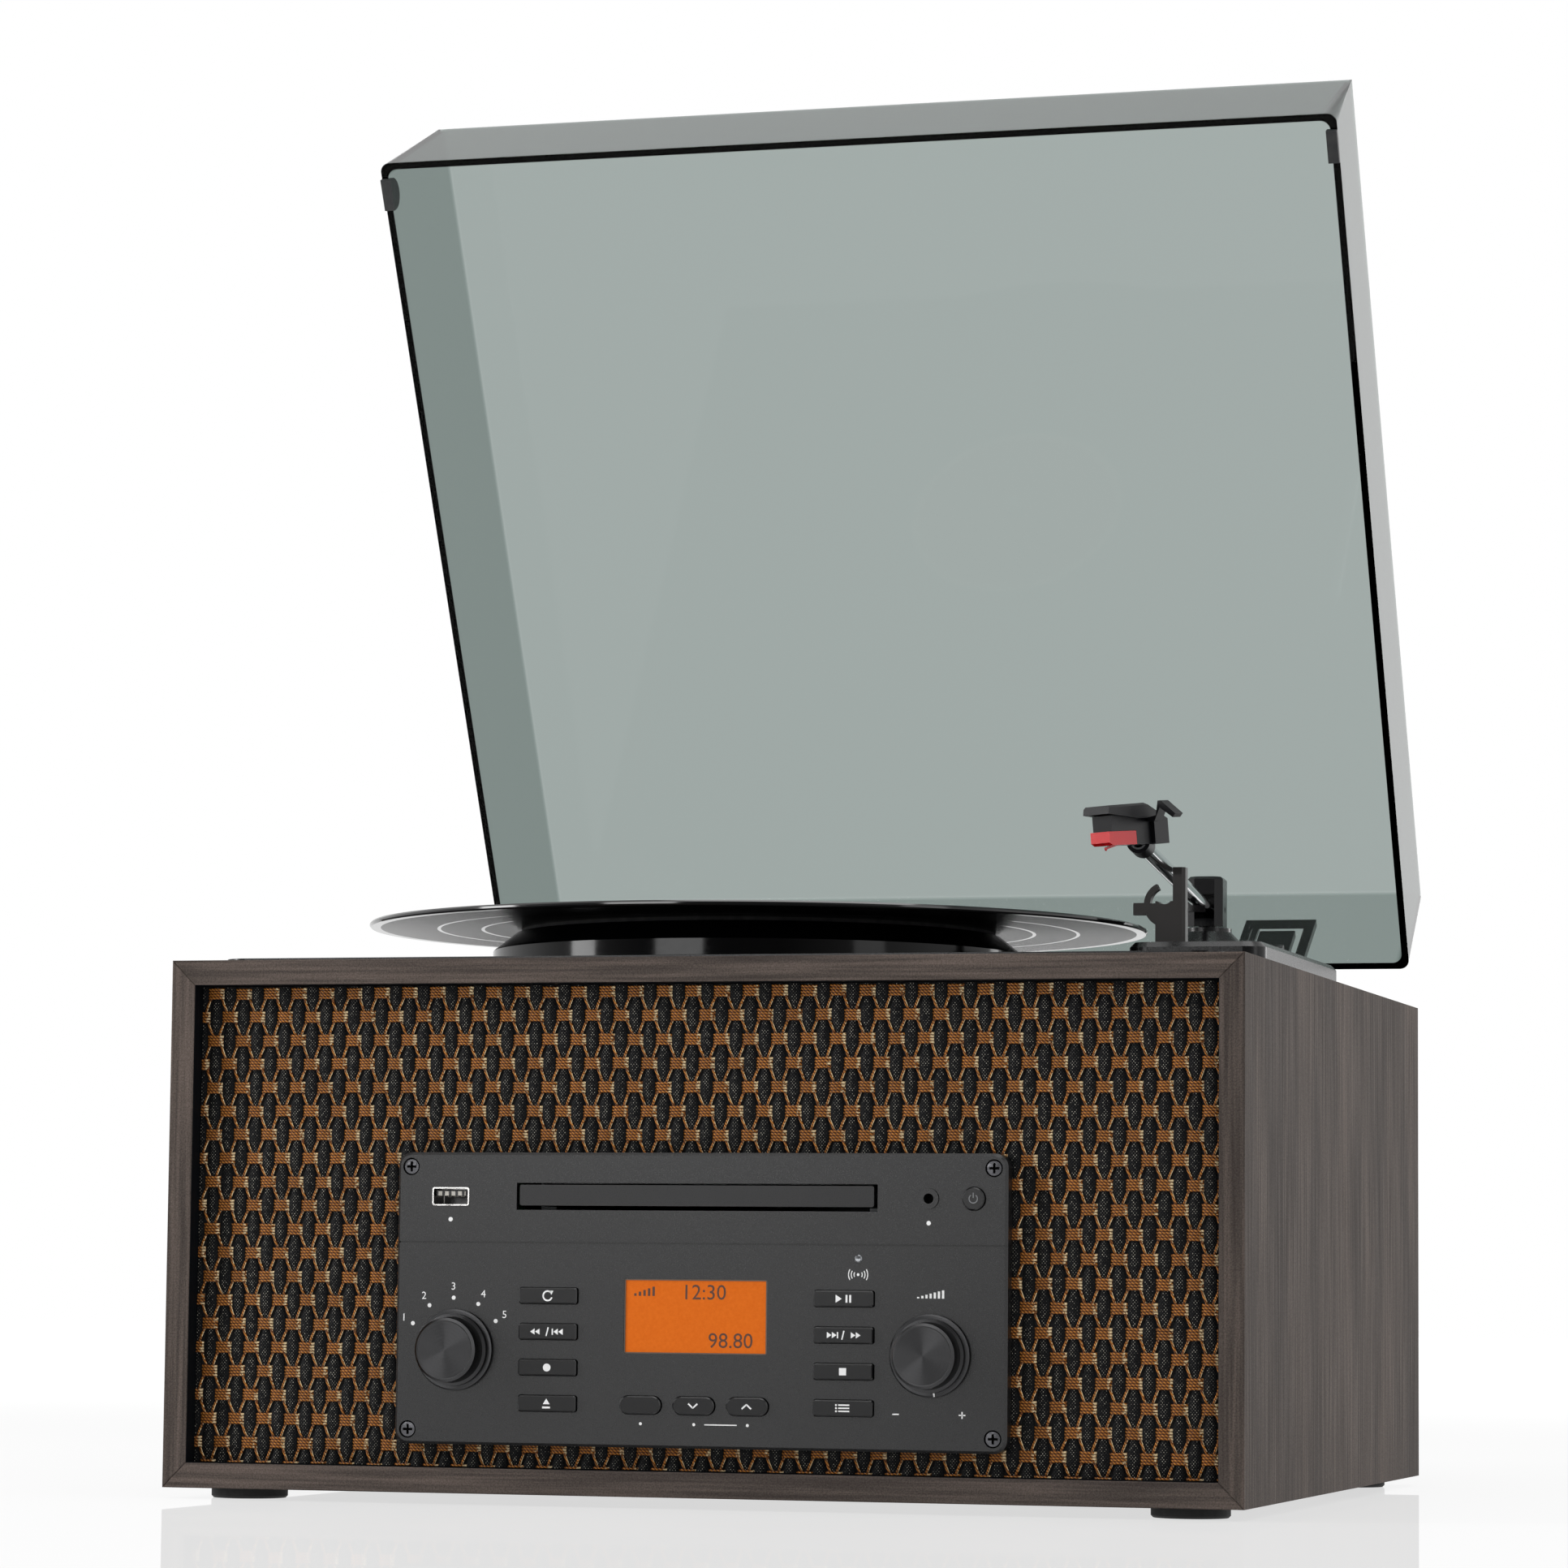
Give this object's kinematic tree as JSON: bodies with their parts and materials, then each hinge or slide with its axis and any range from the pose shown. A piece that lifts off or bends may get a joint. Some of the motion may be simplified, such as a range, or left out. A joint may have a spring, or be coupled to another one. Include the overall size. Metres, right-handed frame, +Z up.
{
  "type": "stereo music centre",
  "caption": "Wooden table-top music centre with radio and disc module, woven front, record deck with tonearm, and a hinged clear lid, shown open",
  "frame": {"origin": "on the resting plane, below the middle of the bounding box with the lid open", "axes": "+X to the right seen from the front, +Y towards the rear, +Z up"},
  "size_m": [0.4, 0.4326, 0.5611],
  "materials": {
    "cabinet_wood": "dark grey-brown printed ash grain, matt",
    "rear_board": "black painted fibreboard",
    "baffle_board": "black painted fibreboard",
    "woven_cloth": "open weave of brown yarn on black ribs",
    "foot_rubber": "matt black",
    "fascia_black": "satin black moulding",
    "screw_black": "blackened steel",
    "display_window": "orange backlit liquid crystal behind clear plastic",
    "lamp_lens": "clear plastic dome",
    "plated_steel": "nickel-plated shell",
    "socket_black": "black moulding",
    "circuit_board": "green lacquered laminate",
    "drive_steel": "zinc-plated sheet",
    "transformer_iron": "varnished laminations",
    "cone_paper": "black paper pulp",
    "deck_black": "satin black moulding",
    "spindle_steel": "polished steel",
    "motor_can": "zinc-plated steel",
    "pulley_brass": "turned brass",
    "belt_rubber": "matt black",
    "button_black": "black moulding",
    "knob_metal": "dark spun face in a black rim",
    "tray_black": "satin black moulding",
    "platter_black": "glossy black moulding",
    "mat_rubber": "ribbed black rubber",
    "record_vinyl": "grooved black vinyl with a plain label",
    "arm_black": "black moulding",
    "arm_metal": "plated tube",
    "stylus_red": "red moulding",
    "lid_clear": "clear, faintly smoked acrylic",
    "bumper_rubber": "matt black",
    "hinge_black": "black moulding"
  },
  "bodies": {
    "cabinet": {"cabinet_left_side": "cabinet_wood", "cabinet_right_side": "cabinet_wood", "cabinet_top": "cabinet_wood", "cabinet_bottom": "cabinet_wood", "rear_panel": "rear_board", "grille_baffle": "baffle_board", "grille_cloth": "woven_cloth", "feet": "foot_rubber", "fascia": "fascia_black", "screws": "screw_black", "display_module": "display_window", "status_lamp": "lamp_lens", "usb_socket": "plated_steel", "aux_socket": "socket_black", "rear_sockets": "socket_black", "rotary_encoders": "socket_black", "control_board": "circuit_board", "main_board": "circuit_board", "disc_drive": "drive_steel", "speaker_frames": "drive_steel", "hinge_brackets": "drive_steel", "transformer": "transformer_iron", "speaker_cones": "cone_paper", "turntable_deck": "deck_black", "arm_base": "deck_black", "arm_rest_post": "deck_black", "spindle": "spindle_steel", "drive_motor": "motor_can", "drive_belt": "belt_rubber"},
    "lid": {"lid": "lid_clear", "lid_bumpers": "bumper_rubber", "hinge_leaves": "hinge_black"},
    "platter": {"platter": "platter_black", "slip_mat": "mat_rubber", "record": "record_vinyl"},
    "pulley": {"motor_pulley": "pulley_brass"},
    "arm_bearing": {"arm_gimbal": "arm_black"},
    "tonearm": {"arm_tube": "arm_metal", "headshell": "arm_black", "cartridge": "arm_black", "stylus": "stylus_red"},
    "cue_lift": {"cue_lift": "arm_black"},
    "cue_lever": {"cue_lever": "arm_black"},
    "arm_clip": {"arm_clip": "arm_black"},
    "disc_tray": {"disc_tray": "tray_black"},
    "source_knob": {"source_knob": "knob_metal"},
    "volume_knob": {"volume_knob": "knob_metal"},
    "speed_selector": {"speed_selector": "arm_black"},
    "left_button_1": {"left_button_1": "button_black"},
    "left_button_2": {"left_button_2": "button_black"},
    "left_button_3": {"left_button_3": "button_black"},
    "left_button_4": {"left_button_4": "button_black"},
    "right_button_1": {"right_button_1": "button_black"},
    "right_button_2": {"right_button_2": "button_black"},
    "right_button_3": {"right_button_3": "button_black"},
    "right_button_4": {"right_button_4": "button_black"},
    "oval_button_1": {"oval_button_1": "button_black"},
    "oval_button_2": {"oval_button_2": "button_black"},
    "oval_button_3": {"oval_button_3": "button_black"},
    "power_button": {"power_button": "button_black"}
  },
  "joints": [
    {"name": "lid_hinge", "type": "hinge", "parent": "cabinet", "child": "lid", "pos_m": [0, 0.17288, 0.2086], "axis": [-1, 0, 0], "range_deg": [-62, 0]},
    {"name": "platter_spin", "type": "hinge", "parent": "cabinet", "child": "platter", "pos_m": [-0.024, -0.04132, 0.2], "axis": [0, 0, 1], "continuous": true},
    {"name": "motor_spin", "type": "hinge", "parent": "cabinet", "child": "pulley", "pos_m": [-0.09445, -0.09065, 0.2], "axis": [0, 0, 1], "continuous": true},
    {"name": "tonearm_yaw", "type": "hinge", "parent": "cabinet", "child": "arm_bearing", "pos_m": [0.135, 0.04868, 0.2292], "axis": [0, 0, 1], "range_deg": [-33, 0]},
    {"name": "tonearm_pitch", "type": "hinge", "parent": "arm_bearing", "child": "tonearm", "pos_m": [0.135, 0.04868, 0.2292], "axis": [-0.9987, -0.0506, 0], "range_deg": [-5.6, 0]},
    {"name": "cue_lift_slide", "type": "slide", "parent": "cabinet", "child": "cue_lift", "axis": [0, 0, 1], "range_m": [-0.0034, 0]},
    {"name": "cue_lever_pivot", "type": "hinge", "parent": "cabinet", "child": "cue_lever", "pos_m": [0.168, 0.00968, 0.207], "axis": [1, 0, 0], "range_deg": [0, 50]},
    {"name": "arm_clip_pivot", "type": "hinge", "parent": "cabinet", "child": "arm_clip", "pos_m": [0.139, -0.05632, 0.2243], "axis": [0, 1, 0], "range_deg": [0, 52]},
    {"name": "disc_tray_slide", "type": "slide", "parent": "cabinet", "child": "disc_tray", "axis": [0, -1, 0], "range_m": [0, 0.13]},
    {"name": "source_turn", "type": "hinge", "parent": "cabinet", "child": "source_knob", "pos_m": [-0.0882, -0.20532, 0.0552], "axis": [0, -1, 0], "range_deg": [-68, 68]},
    {"name": "volume_turn", "type": "hinge", "parent": "cabinet", "child": "volume_knob", "pos_m": [0.0882, -0.20532, 0.0552], "axis": [0, -1, 0], "range_deg": [-150, 150]},
    {"name": "speed_slide", "type": "slide", "parent": "cabinet", "child": "speed_selector", "axis": [1, 0, 0], "range_m": [0, 0.018]},
    {"name": "left_button_1_press", "type": "slide", "parent": "cabinet", "child": "left_button_1", "axis": [0, 1, 0], "range_m": [0, 0.0008], "stiffness_N_per_m": 300},
    {"name": "left_button_2_press", "type": "slide", "parent": "cabinet", "child": "left_button_2", "axis": [0, 1, 0], "range_m": [0, 0.0008], "stiffness_N_per_m": 300},
    {"name": "left_button_3_press", "type": "slide", "parent": "cabinet", "child": "left_button_3", "axis": [0, 1, 0], "range_m": [0, 0.0008], "stiffness_N_per_m": 300},
    {"name": "left_button_4_press", "type": "slide", "parent": "cabinet", "child": "left_button_4", "axis": [0, 1, 0], "range_m": [0, 0.0008], "stiffness_N_per_m": 300},
    {"name": "right_button_1_press", "type": "slide", "parent": "cabinet", "child": "right_button_1", "axis": [0, 1, 0], "range_m": [0, 0.0008], "stiffness_N_per_m": 300},
    {"name": "right_button_2_press", "type": "slide", "parent": "cabinet", "child": "right_button_2", "axis": [0, 1, 0], "range_m": [0, 0.0008], "stiffness_N_per_m": 300},
    {"name": "right_button_3_press", "type": "slide", "parent": "cabinet", "child": "right_button_3", "axis": [0, 1, 0], "range_m": [0, 0.0008], "stiffness_N_per_m": 300},
    {"name": "right_button_4_press", "type": "slide", "parent": "cabinet", "child": "right_button_4", "axis": [0, 1, 0], "range_m": [0, 0.0008], "stiffness_N_per_m": 300},
    {"name": "oval_button_1_press", "type": "slide", "parent": "cabinet", "child": "oval_button_1", "axis": [0, 1, 0], "range_m": [0, 0.0008], "stiffness_N_per_m": 300},
    {"name": "oval_button_2_press", "type": "slide", "parent": "cabinet", "child": "oval_button_2", "axis": [0, 1, 0], "range_m": [0, 0.0008], "stiffness_N_per_m": 300},
    {"name": "oval_button_3_press", "type": "slide", "parent": "cabinet", "child": "oval_button_3", "axis": [0, 1, 0], "range_m": [0, 0.0008], "stiffness_N_per_m": 300},
    {"name": "power_button_press", "type": "slide", "parent": "cabinet", "child": "power_button", "axis": [0, 1, 0], "range_m": [0, 0.0008], "stiffness_N_per_m": 300}
  ],
  "couplings": [
    {"joint": "motor_spin", "follows": "platter_spin", "ratio": 12.754},
    {"joint": "cue_lift_slide", "follows": "tonearm_pitch", "m_per_rad": 0.034054},
    {"joint": "cue_lever_pivot", "follows": "tonearm_pitch", "ratio": -8.9}
  ]
}
